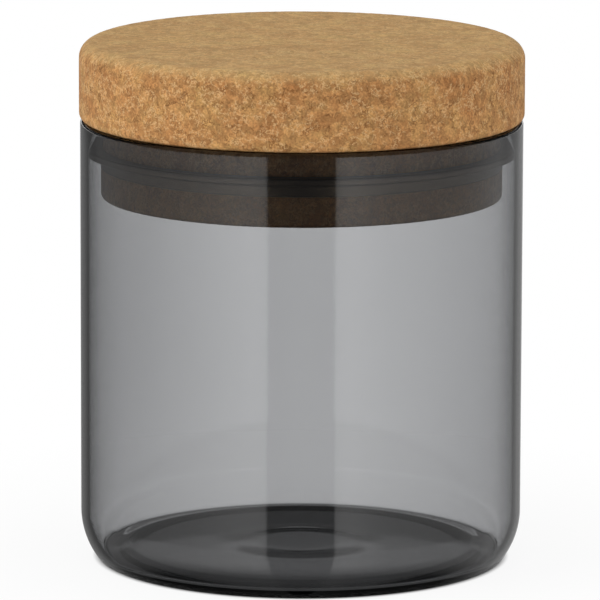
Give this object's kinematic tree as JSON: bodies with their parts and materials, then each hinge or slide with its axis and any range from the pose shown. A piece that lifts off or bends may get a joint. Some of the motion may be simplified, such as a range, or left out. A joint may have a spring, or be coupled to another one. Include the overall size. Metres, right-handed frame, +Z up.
{
  "type": "glass storage jar with cork lid",
  "caption": "Straight-sided smoke-grey glass storage jar with a thick lift-off cork lid and a soft seal round its plug.",
  "frame": {"origin": "centre of the foot, in the plane that the jar stands on", "axes": "+Z up along the jar's axis, towards the lid; the part is a solid of revolution, so X and Y are free"},
  "size_m": [0.1006, 0.1006, 0.1182],
  "materials": {
    "smoked_glass": "clear smoke-grey glass, fire-polished",
    "cork": "sanded agglomerated cork, unsealed",
    "silicone": "moulded black silicone, satin gloss"
  },
  "bodies": {
    "jar": {"glass_jar": "smoked_glass"},
    "lid": {"cork_lid": "cork", "seal_ring": "silicone"}
  },
  "joints": [
    {"name": "lid_lift", "type": "slide", "parent": "jar", "child": "lid", "axis": [0, 0, 1], "range_m": [0, 0.05]}
  ]
}
